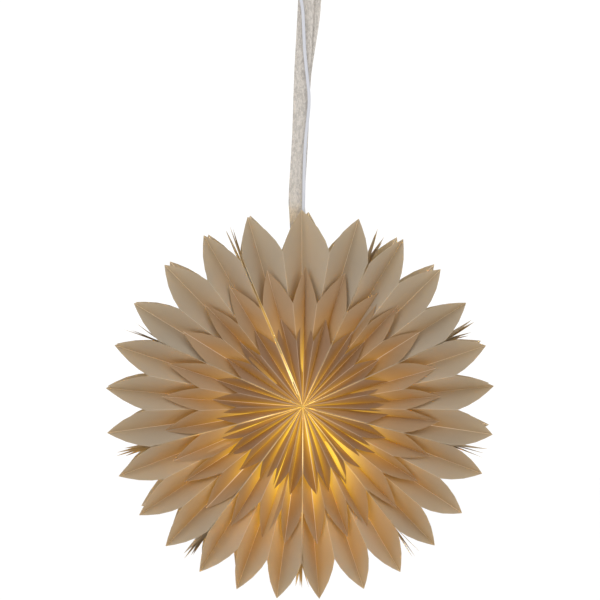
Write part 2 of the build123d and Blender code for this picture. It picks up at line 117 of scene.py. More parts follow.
LEFT_STRAND = [
    (0.0, -0.00625, -0.006),
    (-0.0040, -0.0052, -0.070),
    (-0.0089, -0.0026, -0.200),
    (-0.0137, -0.0018, -0.286),
    (-0.0157, -0.0014, -0.325),
    (-0.0182, -0.0012, -0.415),
    (-0.0244, -0.0011, -0.508),
    (-0.0225, 0.0012, -0.526),
    (-0.0208, 0.0130, -0.553),
    (-0.0185, 0.0212, -0.588),
]
RIGHT_STRAND = [
    (0.0, 0.00625, -0.006),
    (0.0020, 0.0048, -0.070),
    (0.0043, 0.0016, -0.200),
    (-0.0095, 0.0002, -0.286),
    (-0.0152, -0.0005, -0.325),
    (-0.0182, -0.0004, -0.415),
    (-0.0244, -0.0003, -0.508),
    (-0.0225, 0.0022, -0.526),
    (-0.0208, 0.0140, -0.553),
    (-0.0185, 0.0222, -0.588),
]
HOOK_RADIUS = 0.006

# The cable from the lamp holder up to the hand switch.
LAMP_CABLE_ROUTE = [
    (-0.0180, 0.0000, -0.7650),
    (-0.0180, 0.0000, -0.7120),
    (-0.0168, -0.0032, -0.6480),
    (-0.0150, -0.0044, -0.5960),
    (-0.0142, -0.0047, -0.5480),
    (-0.0129, -0.0046, -0.5020),
    (-0.0123, -0.0044, -0.4590),
    (-0.0106, -0.0043, -0.4180),
    (-0.0070, -0.0045, -0.3860),
    (-0.0039, -0.0047, -0.3540),
    (-0.0072, -0.0048, -0.3220),
    (-0.0114, -0.0054, -0.2840),
    (-0.0132, -0.0062, -0.2430),
    (-0.0145, -0.0084, -0.2120),
    (-0.0210, -0.0120, -0.1860),
    (-0.0315, -0.0162, -0.1630),
    (-0.0375, -0.0185, -0.1440),
    (-0.0375, -0.0185, -0.1280),
]


# ------------------------------------------------------------------ settings


class StarPaper(bpy.types.PropertyGroup):
    sheet: bpy.props.FloatProperty(
        name="Sheet", description="Thickness of the pleated paper", default=0.0003, unit="LENGTH"
    )
    crease: bpy.props.FloatProperty(
        name="Crease", description="Half width of a pressed fold", default=0.0014, unit="LENGTH"
    )
    bulge: bpy.props.FloatProperty(
        name="Bulge", description="How far a panel bows between its folds", default=0.0022, unit="LENGTH"
    )
    wander: bpy.props.FloatProperty(
        name="Wander", description="How far a petal's tip strays from its place",
        default=0.0030, unit="LENGTH",
    )
    # The outer tier's colour by the lamp: its darker, oranger tone there is painted shade and lamplight.
    colour: bpy.props.FloatVectorProperty(
        name="Paper", description="Colour of the pleated paper", default=(0.49, 0.335, 0.185), subtype="COLOR"
    )
    through: bpy.props.FloatVectorProperty(
        name="Light through", description="Colour of the light that passes it", default=(0.80, 0.62, 0.25),
        subtype="COLOR",
    )
    wall_colour: bpy.props.FloatVectorProperty(
        name="Walls", description="Colour of the bags' walls", default=(0.58, 0.47, 0.31), subtype="COLOR"
    )


class StarLamp(bpy.types.PropertyGroup):
    glow: bpy.props.FloatVectorProperty(
        name="Glow", description="Colour of the lit bulb", default=(1.0, 0.74, 0.25), subtype="COLOR"
    )
    power: bpy.props.FloatProperty(
        name="Power", description="Power of the light inside the star", default=28.0, unit="POWER"
    )


class StarHanging(bpy.types.PropertyGroup):
    ribbon_width: bpy.props.FloatProperty(
        name="Ribbon width", description="Width of the hanging ribbon", default=0.025, unit="LENGTH"
    )
    ribbon_sheet: bpy.props.FloatProperty(
        name="Ribbon thickness", description="Thickness of the ribbon", default=0.0003, unit="LENGTH"
    )
    ribbon_colour: bpy.props.FloatVectorProperty(
        name="Ribbon", description="Colour of the ribbon", default=(0.43, 0.395, 0.355), subtype="COLOR"
    )
    cable_diameter: bpy.props.FloatProperty(
        name="Cable", description="Diameter of the lamp's cable", default=0.005, unit="LENGTH"
    )
    cable_colour: bpy.props.FloatVectorProperty(
        name="Cable", description="Colour of the cable's jacket", default=(0.50, 0.51, 0.55), subtype="COLOR"
    )
    plastic_colour: bpy.props.FloatVectorProperty(
        name="Plastic", description="Colour of the switch, the plug and the lamp holder",
        default=(0.64, 0.64, 0.63), subtype="COLOR",
    )


class StarStage(bpy.types.PropertyGroup):
    distance: bpy.props.FloatProperty(
        name="Distance", description="From the camera to the star's own plane", default=4.6, unit="LENGTH"
    )
    turn: bpy.props.FloatProperty(
        name="Turn", description="How far the camera stands to the left",
        default=math.radians(2.4), subtype="ANGLE",
    )
    view: bpy.props.FloatProperty(
        name="View", description="Width of the view at the star", default=0.924, unit="LENGTH"
    )
    floor: bpy.props.FloatVectorProperty(
        name="Floor", description="Colour of the studio floor", default=(0.97, 0.97, 0.97), subtype="COLOR"
    )


# ------------------------------------------------------------------ small helpers


def deselect():
    if bpy.context.object is not None and bpy.context.object.mode != "OBJECT":
        bpy.ops.object.mode_set(mode="OBJECT")
    bpy.ops.object.select_all(action="DESELECT")


def pick(piece):
    """Selects one object alone and makes it the active one."""
    deselect()
    piece.select_set(True)
    bpy.context.view_layer.objects.active = piece
    return piece


def settle(piece, name, material=None):
    """Names a finished piece, moves its place into its mesh and gives it its material."""
    pick(piece)
    bpy.ops.object.transform_apply(location=True, rotation=True, scale=True)
    piece.name = name
    piece.data.name = name
    if material is not None:
        piece.data.materials.clear()
        piece.data.materials.append(material)
    return piece


def apply_modifiers(piece):
    pick(piece)
    for modifier in list(piece.modifiers):
        bpy.ops.object.modifier_apply(modifier=modifier.name)


def join(pieces):
    deselect()
    for piece in pieces:
        piece.select_set(True)
    bpy.context.view_layer.objects.active = pieces[0]
    bpy.ops.object.join()
    return pieces[0]


def sheet_grid(columns, rows, place):
    """A flat grid of paper whose points are then laid where place(column, row) says."""
    deselect()
    bpy.ops.mesh.primitive_grid_add(x_subdivisions=columns, y_subdivisions=rows, size=1)
    sheet = bpy.context.object
    across = columns + 1
    spots = [place(index % across, index // across) for index in range(across * (rows + 1))]
    sheet.data.vertices.foreach_set("co", np.array(spots, np.float32).ravel())
    sheet.data.update()
    return sheet


def store(sheet, name, numbers):
    """Keeps one number for each point of a sheet, for its finish or for fan_fold to read."""
    sheet.data.attributes.new(name, "FLOAT", "POINT").data.foreach_set("value", numbers)


def thicken(sheet, thickness):
    modifier = sheet.modifiers.new("thickness", "SOLIDIFY")
    modifier.thickness = thickness
    modifier.offset = 0
    modifier.use_even_offset = False
    apply_modifiers(sheet)


def smooth(piece, degrees=30):
    pick(piece)
    bpy.ops.object.shade_smooth_by_angle(angle=math.radians(degrees))


def mix(a, b, share):
    return a + (b - a) * share


# ------------------------------------------------------------------ materials


class Finish:
    """A node material under construction, with short calls for the nodes that the finishes share."""

    def __init__(self, name):
        self.material = bpy.data.materials.new(name)
        self.material.use_nodes = True
        self.tree = self.material.node_tree
        self.tree.nodes.clear()
        self.output = self.node("ShaderNodeOutputMaterial")
        self.shader = self.node("ShaderNodeBsdfPrincipled")
        self.link(self.shader.outputs[0], self.output.inputs["Surface"])

    def node(self, kind, **settings):
        made = self.tree.nodes.new(kind)
        for key, value in settings.items():
            if key in made.inputs:
                made.inputs[key].default_value = value
            else:
                setattr(made, key, value)
        return made

    def link(self, source, target):
        self.tree.links.new(source, target)

    def where(self, scale=(1, 1, 1)):
        place = self.node("ShaderNodeTexCoord")
        mapping = self.node("ShaderNodeMapping")
        mapping.inputs["Scale"].default_value = scale
        self.link(place.outputs["Object"], mapping.inputs["Vector"])
        return mapping.outputs["Vector"]

    def noise(self, scale, detail=4.0, roughness=0.6, stretch=(1, 1, 1)):
        texture = self.node("ShaderNodeTexNoise")
        texture.inputs["Scale"].default_value = scale
        texture.inputs["Detail"].default_value = detail
        texture.inputs["Roughness"].default_value = roughness
        self.link(self.where(stretch), texture.inputs["Vector"])
        return texture.outputs["Fac"]

    def attribute(self, name):
        return self.node("ShaderNodeAttribute", attribute_name=name).outputs["Fac"]

    def ramp(self, source, stops):
        """A colour ramp from (place, colour) stops."""
        ramp = self.node("ShaderNodeValToRGB")
        elements = ramp.color_ramp.elements
        elements[0].position, elements[1].position = stops[0][0], stops[-1][0]
        elements[0].color, elements[1].color = (*stops[0][1], 1), (*stops[-1][1], 1)
        for place, colour in stops[1:-1]:
            element = elements.new(place)
            element.color = (*colour, 1)
        self.link(source, ramp.inputs["Fac"])
        return ramp.outputs["Color"]

    def blend(self, share, first, second):
        """A colour mix; share may be a number or a socket, and so may each colour."""
        node = self.node("ShaderNodeMix", data_type="RGBA")
        for socket, value in ((node.inputs[0], share), (node.inputs[6], first), (node.inputs[7], second)):
            if isinstance(value, bpy.types.NodeSocket):
                self.link(value, socket)
            elif socket == node.inputs[0]:
                socket.default_value = value
            else:
                socket.default_value = (*value, 1)
        return node.outputs[2]

    def maths(self, operation, first, second=0.0):
        node = self.node("ShaderNodeMath", operation=operation)
        for socket, value in ((node.inputs[0], first), (node.inputs[1], second)):
            if isinstance(value, bpy.types.NodeSocket):
                self.link(value, socket)
            else:
                socket.default_value = value
        return node.outputs[0]

    def bump(self, height, strength, distance):
        node = self.node("ShaderNodeBump")
        node.inputs["Strength"].default_value = strength
        node.inputs["Distance"].default_value = distance
        self.link(height, node.inputs["Height"])
        return node.outputs["Normal"]


def shade(colour, factor):
    return tuple(min(1.0, channel * factor) for channel in colour)


# The lamplight's colour on paper, from hardly lit to fully lit.
PLEAT_GLOW = [
    (0.0, (0.66, 0.52, 0.36)), (0.06, (0.75, 0.36, 0.06)),
    (0.35, (0.95, 0.55, 0.02)), (1.0, (1.0, 0.74, 0.06)),
]
WALL_GLOW = [(0.0, (0.70, 0.45, 0.18)), (0.35, (1.0, 0.66, 0.12)), (1.0, (1.0, 0.90, 0.50))]


def paper_finish(name, near, far, through, share_through, glow_colours=PLEAT_GLOW):
    """Thin matte paper, lit from inside: near is its colour by the lamp, and far its colour at the tips.

    Its colour changes from far to near as painted lamplight and shade. It has fibres, a faint cloudiness, pale
    folds, partly wear and partly painted light, and light that passes through it. The lamplight that gathers
    in the folds is painted: an emission that the sheet's own "lit" values give, not traced from the lamp. The
    folds, and the paper near the valleys, also have a small painted glow of their own, an emission which
    "fold" and "deep" give.
    """
    f = Finish(name)
    lit, fold = f.attribute("lit"), f.attribute("fold")
    cloud = f.noise(14, 3, 0.55)
    fibre = f.noise(900, 5, 0.7)
    # Painted lamplight and shade: the colour turns from far to near as the lit values grow.
    tone = f.ramp(lit, [(0.0, far), (0.07, near)])
    tone = f.blend(f.maths("MULTIPLY", cloud, 0.25), tone, shade(near, 0.8))
    tone = f.blend(f.maths("MULTIPLY", fibre, 0.16), tone, shade(near, 0.6))
    # Paler folds: partly wear, partly painted light against the shade in the grooves.
    tone = f.blend(f.maths("MULTIPLY", fold, 0.75), tone, (0.80, 0.72, 0.60))
    f.link(tone, f.shader.inputs["Base Color"])
    f.shader.inputs["Roughness"].default_value = 0.78
    f.shader.inputs["Specular IOR Level"].default_value = 0.3
    normal = f.bump(fibre, 0.25, 0.0002)
    f.link(normal, f.shader.inputs["Normal"])
    glow = f.node("ShaderNodeBsdfTranslucent")
    f.link(f.blend(f.maths("MULTIPLY", cloud, 0.3), through, shade(through, 0.8)), glow.inputs["Color"])
    both = f.node("ShaderNodeMixShader")
    both.inputs["Fac"].default_value = share_through
    f.link(f.shader.outputs[0], both.inputs[1])
    f.link(glow.outputs[0], both.inputs[2])
    f.link(both.outputs[0], f.output.inputs["Surface"])
    # Painted lamplight: an emission whose colour follows the lit values and turns pale on the folds.
    golden = f.ramp(lit, glow_colours)
    f.link(f.blend(fold, golden, (0.80, 0.70, 0.56)), f.shader.inputs["Emission Color"])
    # Painted glow: a little more emission on the folds and towards the valleys.
    soft = f.maths("ADD", f.maths("MULTIPLY", fold, 0.20), f.maths("MULTIPLY", f.attribute("deep"), 0.14))
    f.link(f.maths("ADD", lit, soft), f.shader.inputs["Emission Strength"])
    return f.material


def tape_finish(name, colour, hooks):
    """Hook or loop tape: a rough nap, finer on the hook side."""
    f = Finish(name)
    nap = f.noise(1400 if hooks else 700, 6, 0.75)
    f.link(f.ramp(nap, [(0.3, shade(colour, 0.7)), (0.7, colour)]), f.shader.inputs["Base Color"])
    f.link(f.bump(nap, 0.8, 0.0006), f.shader.inputs["Normal"])
    f.shader.inputs["Roughness"].default_value = 0.85
    f.shader.inputs["Sheen Weight"].default_value = 0.4
    return f.material


def ribbon_finish(colour):
    """Fine silvery ribbon: crossed threads, lighter and darker clumps and specks of glitter."""
    f = Finish("ribbon_weave")
    uv = f.node("ShaderNodeUVMap")
    uv.uv_map = "weave"
    warp = f.node("ShaderNodeTexWave", wave_type="BANDS", bands_direction="X")
    weft = f.node("ShaderNodeTexWave", wave_type="BANDS", bands_direction="Y")
    for threads, pitch in ((warp, 0.0011), (weft, 0.0009)):
        f.link(uv.outputs[0], threads.inputs["Vector"])
        threads.inputs["Scale"].default_value = 0.314 / pitch
        threads.inputs["Distortion"].default_value = 1.2
        threads.inputs["Detail"].default_value = 1.0
    weave = f.maths("MAXIMUM", warp.outputs["Fac"], weft.outputs["Fac"])
    speckle = f.node("ShaderNodeTexVoronoi")
    f.link(uv.outputs[0], speckle.inputs["Vector"])
    speckle.inputs["Scale"].default_value = 900
    spread = f.noise(360, 4, 0.8, (1, 1, 0.4))
    clumps = f.ramp(spread, [(0.42, shade(colour, 0.66)), (0.56, shade(colour, 1.4))])
    tone = f.ramp(weave, [(0.1, shade(colour, 0.72)), (0.8, shade(colour, 1.12))])
    tone = f.blend(0.55, tone, clumps)
    spark = f.maths("LESS_THAN", speckle.outputs["Distance"], 0.22)
    tone = f.blend(f.maths("MULTIPLY", spark, 0.85), tone, (0.95, 0.93, 0.9))
    f.link(tone, f.shader.inputs["Base Color"])
    f.link(f.maths("SUBTRACT", 0.62, f.maths("MULTIPLY", spark, 0.4)), f.shader.inputs["Roughness"])
    f.link(f.maths("MULTIPLY", spark, 0.55), f.shader.inputs["Metallic"])
    f.link(f.bump(weave, 0.5, 0.0003), f.shader.inputs["Normal"])
    f.shader.inputs["Sheen Weight"].default_value = 0.3
    return f.material


def plastic_finish(name, colour, roughness, grain=0.12):
    """Moulded plastic: a faint grain, and patches that differ a little in shade and gloss."""
    f = Finish(name)
    patches = f.noise(35, 3, 0.5)
    grains = f.noise(1600, 3, 0.6)
    tone = f.ramp(patches, [(0.3, shade(colour, 0.97)), (0.7, shade(colour, 1.02))])
    f.link(tone, f.shader.inputs["Base Color"])
    f.link(f.maths("ADD", roughness - 0.05, f.maths("MULTIPLY", patches, 0.12)), f.shader.inputs["Roughness"])
    f.link(f.bump(grains, grain, 0.0002), f.shader.inputs["Normal"])
    return f.material


def metal_finish(name, colour, roughness):
    """Plated metal: fine drawn lines and slight tarnish."""
    f = Finish(name)
    lines = f.noise(300, 4, 0.6, (12, 12, 0.6))
    tarnish = f.noise(120, 4, 0.6)
    f.link(f.ramp(tarnish, [(0.3, shade(colour, 0.8)), (0.65, colour)]), f.shader.inputs["Base Color"])
    f.link(f.maths("ADD", roughness, f.maths("MULTIPLY", lines, 0.15)), f.shader.inputs["Roughness"])
    f.link(f.bump(lines, 0.15, 0.0001), f.shader.inputs["Normal"])
    f.shader.inputs["Metallic"].default_value = 1.0
    return f.material


def opal_finish(glow):
    """Opal glass of the lit bulb."""
    f = Finish("opal_glass_lit")
    haze = f.noise(60, 2, 0.5)
    f.link(f.ramp(haze, [(0.3, (0.93, 0.9, 0.84)), (0.7, (0.97, 0.95, 0.9))]), f.shader.inputs["Base Color"])
    f.shader.inputs["Roughness"].default_value = 0.25
    f.link(f.ramp(haze, [(0.3, shade(glow, 0.95)), (0.7, glow)]), f.shader.inputs["Emission Color"])
    f.shader.inputs["Emission Strength"].default_value = 12.0
    return f.material


def stage_finish(colour):
    f = Finish("pale_paper_floor")
    mottle = f.noise(3, 2, 0.5)
    f.link(f.ramp(mottle, [(0.3, shade(colour, 0.99)), (0.7, colour)]), f.shader.inputs["Base Color"])
    f.shader.inputs["Roughness"].default_value = 0.9
    return f.material


# ------------------------------------------------------------------ places on the star


def spot(angle, radius, depth, side):
    """A point of the star, from its angle, radius and depth, and -1 for the front or 1 for the back."""
    return HUB + Vector((radius * math.cos(angle), side * depth, radius * math.sin(angle)))


def wall_angle(node):
    """The angle of a wall, from the point of it that lies furthest from the star's axis."""
    away = [vertex.co - HUB for vertex in frame["nodes"][node].data.vertices]
    furthest = max(away, key=lambda p: p.x**2 + p.z**2)
    return math.atan2(furthest.z, furthest.x)


def seam_angles():
    """The closing seam's angle and then each wall's, clockwise."""
    angles = [wall_angle("end_wall_last")]
    for number in range(1, BAGS):
        angle = wall_angle(f"glued_wall_{number}")
        while angle > angles[-1]:
            angle -= 2 * math.pi
        angles.append(angle)
    return angles + [angles[0] - 2 * math.pi]


SEAMS = seam_angles()


def body_of_bag(number):
    return "root" if number < 2 else f"bag_{number}"


# ------------------------------------------------------------------ the pleated petals


def panel_lines(tier, hill, valley, offset, side, tip_shift):
    """The four corners of one panel: hill and valley folds near the hub, and where they end."""
    hill_radius, hill_depth = tier["hill"]
    tip_radius, tip_depth = tier["tip"]
    onwards = Vector((-math.sin(hill), 0, math.cos(hill)))
    hub_hill = mix(tier["hub"], hill_depth, HUB_CLEAR / hill_radius)
    hub_tip = mix(tier["hub"], tip_depth, HUB_CLEAR / tip_radius)
    near_hill = spot(hill, HUB_CLEAR, hub_hill, side)
    near_valley = spot(valley, HUB_CLEAR, hub_tip, side)
    notch = spot(hill, hill_radius, hill_depth, side)
    tip = spot(valley, tip_radius, tip_depth, side) + tip_shift
    if offset > 0:
        reach = abs((tip - HUB).dot(onwards))
        notch = notch + (tip - notch) * (offset / reach)
        near_reach = abs((near_valley - HUB).dot(onwards))
        if offset < near_reach:
            near_hill = near_hill + (near_valley - near_hill) * (offset / near_reach)
        else:
            near_valley = near_valley + (tip - near_valley) * ((offset - near_reach) / (reach - near_reach))
            near_hill = near_valley + (notch - near_valley) * 0.02
    return near_hill, near_valley, notch, tip


# The columns of one panel, from its hill to its valley; None stands a crease's width from a fold.
ACROSS = (0.0, None, 0.22, 0.5, 0.78, None, 1.0)
ROWS = 14


def pleat_strip(settings, tier_name, bag, side, chance):
    """One strip of paper folded into a bag's petals: a grid whose columns are its folds and panels."""
    tier = TIERS[tier_name]
    first, last = SEAMS[bag - 1], SEAMS[bag]
    middle, step = (first + last) / 2, (last - first) / PETALS
    lean = chance.uniform(-1, 1) * (1 - tier["gather"]) * step * 0.5
    gather = TOP_BAG_SPREAD if (tier_name, bag) == ("outer", 1) else tier["gather"]

    def gathered(angle):
        return middle + lean + (angle - middle) * gather

    first_offset = FIRST_CLEAR if bag == 1 else PLEAT_CLEAR
    last_offset = LAST_CLEAR if bag == BAGS else PLEAT_CLEAR
    uneven = 0.09 * (tier["loose"] - 0.6)
    hills = [gathered(first + (petal + chance.uniform(-uneven, uneven)) * step) for petal in range(1, PETALS)]
    panels = []
    for petal in range(PETALS):
        valley = gathered(first + (petal + 0.5 + chance.uniform(-uneven, uneven)) * step)
        stray = settings.wander * tier["loose"] * (1.0 if side < 0 else BACK_STRAY)
        sway = chance.uniform(-1, 1) * stray
        lift = chance.uniform(-0.7, 0.7) * stray
        short = chance.uniform(*BACK_SHORT) if side > 0 else 0.0
        shift = Vector((-math.sin(valley) * sway, side * lift, math.cos(valley) * sway))
        shift.z += BACK_RISE if side > 0 else 0.0
        shift -= Vector((math.cos(valley), 0, math.sin(valley))) * short
        before = (first, first_offset) if petal == 0 else (hills[petal - 1], 0.0)
        after = (last, last_offset) if petal == PETALS - 1 else (hills[petal], 0.0)
        for hill, offset in (before, after):
            lines = panel_lines(tier, hill, valley, offset, side, shift)
            bow = settings.bulge * tier["loose"] * chance.uniform(0.1, 1.0)
            bow *= 1 if chance.random() < 0.75 else -1
            twist = chance.uniform(-0.5, 0.5) * settings.bulge
            panels.append((lines, bow, twist))

    # Painted light: each panel's glow gets its own factor, every other panel brighter, and past SIDE_CHANGE
    # the other ones.
    bright = 1 if bag > SIDE_CHANGE else 0
    ranges = [BRIGHT_PANEL if panel % 2 == bright else DIM_PANEL for panel in range(PANELS)]
    painted_panel_glow = [chance.uniform(low, high) for low, high in ranges]
    cells = len(ACROSS) - 1
    columns = cells * PANELS

    def place(column, row):
        panel = min(column // cells, PANELS - 1)
        step_in_panel = column - panel * cells
        (near_hill, near_valley, notch, tip), bow, twist = panels[panel]
        if panel % 2 == 1:  # the second panel of a petal runs from its valley to its hill
            step_in_panel = cells - step_in_panel
        length = (row / ROWS) ** 1.15
        width = mix((near_valley - near_hill).length, (tip - notch).length, length)
        narrow = min(0.2, settings.crease / max(width, 1e-6))
        across = ACROSS[step_in_panel]
        if across is None:
            across = narrow if step_in_panel < cells / 2 else 1 - narrow
        inner = near_hill.lerp(near_valley, across)
        outer = notch.lerp(tip, across)
        chord = tip - notch
        face = chord.cross(near_valley - notch).normalized()
        rise = face.cross(chord).normalized()
        if rise.dot(notch - near_hill) < 0:
            rise = -rise
        crown = 4 * tier["arch"] * chord.length * across * (1 - across) * (1.3 - 0.6 * across)
        outer = outer + rise * crown
        point = inner.lerp(outer, length)
        if face.y * side < 0:
            face = -face
        along = bow * math.sin(math.pi * min(1, length * 0.9)) + twist * length**2
        return point + face * (math.sin(math.pi * across) ** 0.8 * along)

    strip = sheet_grid(columns, ROWS, place)
    values, turns, lights, depths = [], [], [], []
    for index in range((columns + 1) * (ROWS + 1)):
        column = index % (columns + 1)
        # The fold marks, 1 on the valleys and 0.4 on the hills, give pale folds that are partly wear and
        # partly painted light.
        values.append(0.0 if column % cells else 1.0 if column // cells % 2 else 0.4)
        co = strip.data.vertices[index].co - HUB
        place_in_panel = min(column % (2 * cells), 2 * cells - column % (2 * cells))
        across = ACROSS[place_in_panel]
        if across is None:
            across = 0.1 if place_in_panel < cells / 2 else 0.9
        # Painted lamplight: a glow that fades away from the lamp, dims towards the tips and is weaker on the
        # hills.
        away = math.hypot(co.x, co.z + LAMP_DROP)
        glow = tier["lit"] * math.exp(-away / tier["fade"]) * mix(tier["ridge"], 1.0, across**1.5)
        dimmed = tier["dims"] * (index // (columns + 1)) / ROWS
        glow *= painted_panel_glow[min(column // cells, PANELS - 1)] * (1 - dimmed)
        lights.append(min(1.0, glow))
        # deep grows towards the valleys, for a faint painted glow there.
        depths.append(across**3)
        angle = math.atan2(co.z, co.x)
        while angle > first + 0.2:
            angle -= 2 * math.pi
        turns.append(min(1.0, max(0.0, (angle - first) / (last - first))))
    for name, numbers in (("fold", values), ("turn", turns), ("lit", lights), ("deep", depths)):
        store(strip, name, numbers)
    thicken(strip, settings.sheet)
    return strip


def fan_fold(piece, bag):
    """Bakes a strip's place into its mesh and reads each point's share of the angle between the two walls
    beside it.

    The share is each point's "turn"; paper folded like a fan opens evenly.
    """
    first, last = SEAMS[bag - 1], SEAMS[bag]
    spot(first, 0.2, 0, 1)
    spot(last, 0.2, 0, 1)
    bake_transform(piece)
    share = np.zeros(len(piece.data.vertices), np.float32)
    piece.data.attributes["turn"].data.foreach_get("value", share)


class STAR_OT_petals(bpy.types.Operator):
    """Fold the petals: a front and a back strip for each tier of each bag"""

    bl_idname = "star.petals"
    bl_label = "Petals"

    def execute(self, context):
        settings = context.scene.star_paper
        chance = random.Random(11)
        through = settings.through
        # One paper in all tiers: the middle and inner tiers' darker, oranger colours are painted shade and
        # lamplight.
        papers = {
            "outer": paper_finish("outer_paper", settings.colour, (0.44, 0.40, 0.33), through, 0.32),
            "middle": paper_finish("middle_paper", (0.42, 0.255, 0.12), (0.42, 0.30, 0.195), through, 0.34),
            "inner": paper_finish("inner_paper", (0.285, 0.15, 0.062), (0.305, 0.185, 0.115), through, 0.30),
        }
        for tier_name in TIERS:
            for bag in range(1, BAGS + 1):
                strips = [pleat_strip(settings, tier_name, bag, side, chance) for side in (-1, 1)]
                piece = settle(join(strips), f"{tier_name}_petals_{bag}", papers[tier_name])
                pick(piece)
                bpy.ops.object.mode_set(mode="EDIT")
                bpy.ops.mesh.select_all(action="SELECT")
                bpy.ops.mesh.normals_make_consistent(inside=False)
                bpy.ops.object.mode_set(mode="OBJECT")
                smooth(piece, 24)
                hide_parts(f"{tier_name}_pleats_{bag}")
                if bag == 1:
                    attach(piece, "root")
                else:
                    fan_fold(piece, bag)
        return {"FINISHED"}


# ------------------------------------------------------------------ the walls between the bags


def wall_edge():
    """Half of a wall's outline, from its inner corner out to its tip, as (radius, depth) pairs."""

    def hill_depth(tier, radius):
        return mix(tier["hub"], tier["hill"][1], radius / tier["hill"][0])

    outer, middle, inner = TIERS["outer"], TIERS["middle"], TIERS["inner"]
    middle_start = mix(inner["hill"][0], inner["tip"][0], 0.35)
    outer_start = mix(middle["hill"][0], middle["tip"][0], 0.35)
    corners = [
        (WALL_INNER, WALL_INNER_DEPTH),
        inner["hill"],
        (middle_start, hill_depth(middle, middle_start)),
        middle["hill"],
        (outer_start, hill_depth(outer, outer_start)),
        outer["hill"],
    ]
    half = []
    for (r0, d0), (r1, d1) in zip(corners, corners[1:]):
        count = max(2, round((r1 - r0) / 0.012))
        half += [(mix(r0, r1, i / count), mix(d0, d1, i / count)) for i in range(count)]
    r0, d0 = outer["hill"]
    chord = Vector((WALL_TIP - r0, -d0))
    rise = Vector((d0, WALL_TIP - r0)).normalized() * 4 * outer["arch"] * chord.length
    for i in range(WALL_EDGE_STEPS + 1):
        t = i / WALL_EDGE_STEPS
        lift = rise * t * (1 - t)
        half.append((r0 + chord.x * t + lift.x, d0 + chord.y * t + lift.y))
    return half


def leaf(normal_angle, offset, splay, length, curl, glow, even=0.2, drawn_in=0.0):
    """One sheet of a wall: a leaf with an opening at the hub, whose outer end bends away from its neighbours.

    glow is the strength of the lamplight painted on it as an emission, even how evenly that is spread, and
    drawn_in is the share of its offset that the leaf loses at its edge, where the pleats pull it in.
    """
    half = wall_edge()
    outline = [(r, -d) for r, d in half] + [(r, d) for r, d in reversed(half[:-1])]
    count = len(outline)
    lowest = math.acos(WALL_INNER / LAMP_ROOM[0])
    outwards = Vector((math.cos(normal_angle), 0, math.sin(normal_angle)))
    onwards = Vector((-math.sin(normal_angle), 0, math.cos(normal_angle)))

    def place(column, row):
        t = -lowest + 2 * lowest * column / (count - 1)
        hole = (LAMP_ROOM[0] * math.cos(t), LAMP_ROOM[1] * math.sin(t))
        edge_r, edge_d = outline[column]
        share = (row / LEAF_ROWS) ** 0.8
        radius = mix(hole[0], edge_r, share)
        depth = mix(hole[1], edge_d, share)
        past = max(0.0, (radius - LOOSE_FROM) / (WALL_TIP - LOOSE_FROM))
        radius = radius + (length - WALL_TIP) * past
        bend = splay * past**1.6 + curl * math.sin(math.pi * past) * (depth / CURL_DEPTH)
        level = offset * (1 - drawn_in * share**7)
        return HUB + outwards * radius + Vector((0, depth, 0)) + onwards * (level + bend)

    sheet = sheet_grid(count - 1, LEAF_ROWS, place)
    lights = []
    for vertex in sheet.data.vertices:
        radius = math.hypot(vertex.co.x - HUB.x, vertex.co.z - HUB.z)
        away = math.hypot(vertex.co.x - HUB.x, vertex.co.z - HUB.z + LAMP_DROP)
        patch = (0.5 + 0.5 * math.cos(radius * PATCH_RATE + glow * PATCH_SHIFT)) ** 2
        lights.append(min(1.0, glow * mix(even, 1.0, patch) * math.exp(-away / WALL_FADE)))
    store(sheet, "lit", lights)
    return sheet


class STAR_OT_walls(bpy.types.Operator):
    """Cut the glued walls and the two end walls, with their loose outer edges"""

    bl_idname = "star.walls"
    bl_label = "Walls"

    def execute(self, context):
        settings = context.scene.star_paper
        chance = random.Random(5)
        cream = settings.wall_colour
        # The walls' paler colour towards their tips is painted light against the shade on their edges.
        edge = (0.72, 0.63, 0.48)
        paper = paper_finish("wall_paper_sheets", cream, edge, settings.through, 0.36, WALL_GLOW)
        card = paper_finish("end_card_sheets", cream, edge, shade(settings.through, 0.9), 0.25, WALL_GLOW)
        for number in range(1, BAGS):
            sheets = []
            # Painted lamplight: each wall glows at one of these strengths.
            glow = chance.choice((0.15, 0.5, 1.4, 2.8))
            for index in range(4):
                away = (index - 1.5) / 1.5
                sheets.append(
                    leaf(
                        SEAMS[number],
                        offset=away * 0.00020,
                        splay=away * chance.uniform(0.004, 0.013) + chance.uniform(-0.004, 0.004),
                        length=WALL_TIP - chance.uniform(-0.003, 0.016),
                        curl=chance.uniform(-0.0007, 0.0007),
                        glow=glow,
                    )
                )
            for sheet in sheets:
                thicken(sheet, LEAF_SHEET)
            piece = settle(join(sheets), f"wall_sheets_{number}", paper)
            smooth(piece, 24)
            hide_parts(f"glued_wall_{number}")
            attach(piece, body_of_bag(number))
        for node, body, offsets, name in (
            ("end_wall_first", "root", (-0.0038, -0.0041), "end_card_first"),
            ("end_wall_last", "bag_9", (0.0001, 0.0004), "end_card_last"),
        ):
            sheets = []
            for offset in offsets:
                way = -1 if body == "root" else 1
                sheets.append(
                    leaf(
                        SEAMS[0],
                        offset=offset,
                        splay=way * chance.uniform(0.000, 0.007),
                        length=WALL_TIP - chance.uniform(-0.002, 0.006),
                        curl=chance.uniform(-0.0008, 0.0008),
                        glow=3.2,
                        even=0.6,
                        drawn_in=0.45,
                    )
                )
            for sheet in sheets:
                thicken(sheet, CARD_SHEET)
            piece = settle(join(sheets), name, card)
            smooth(piece, 24)
            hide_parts(node)
            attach(piece, body)
        return {"FINISHED"}


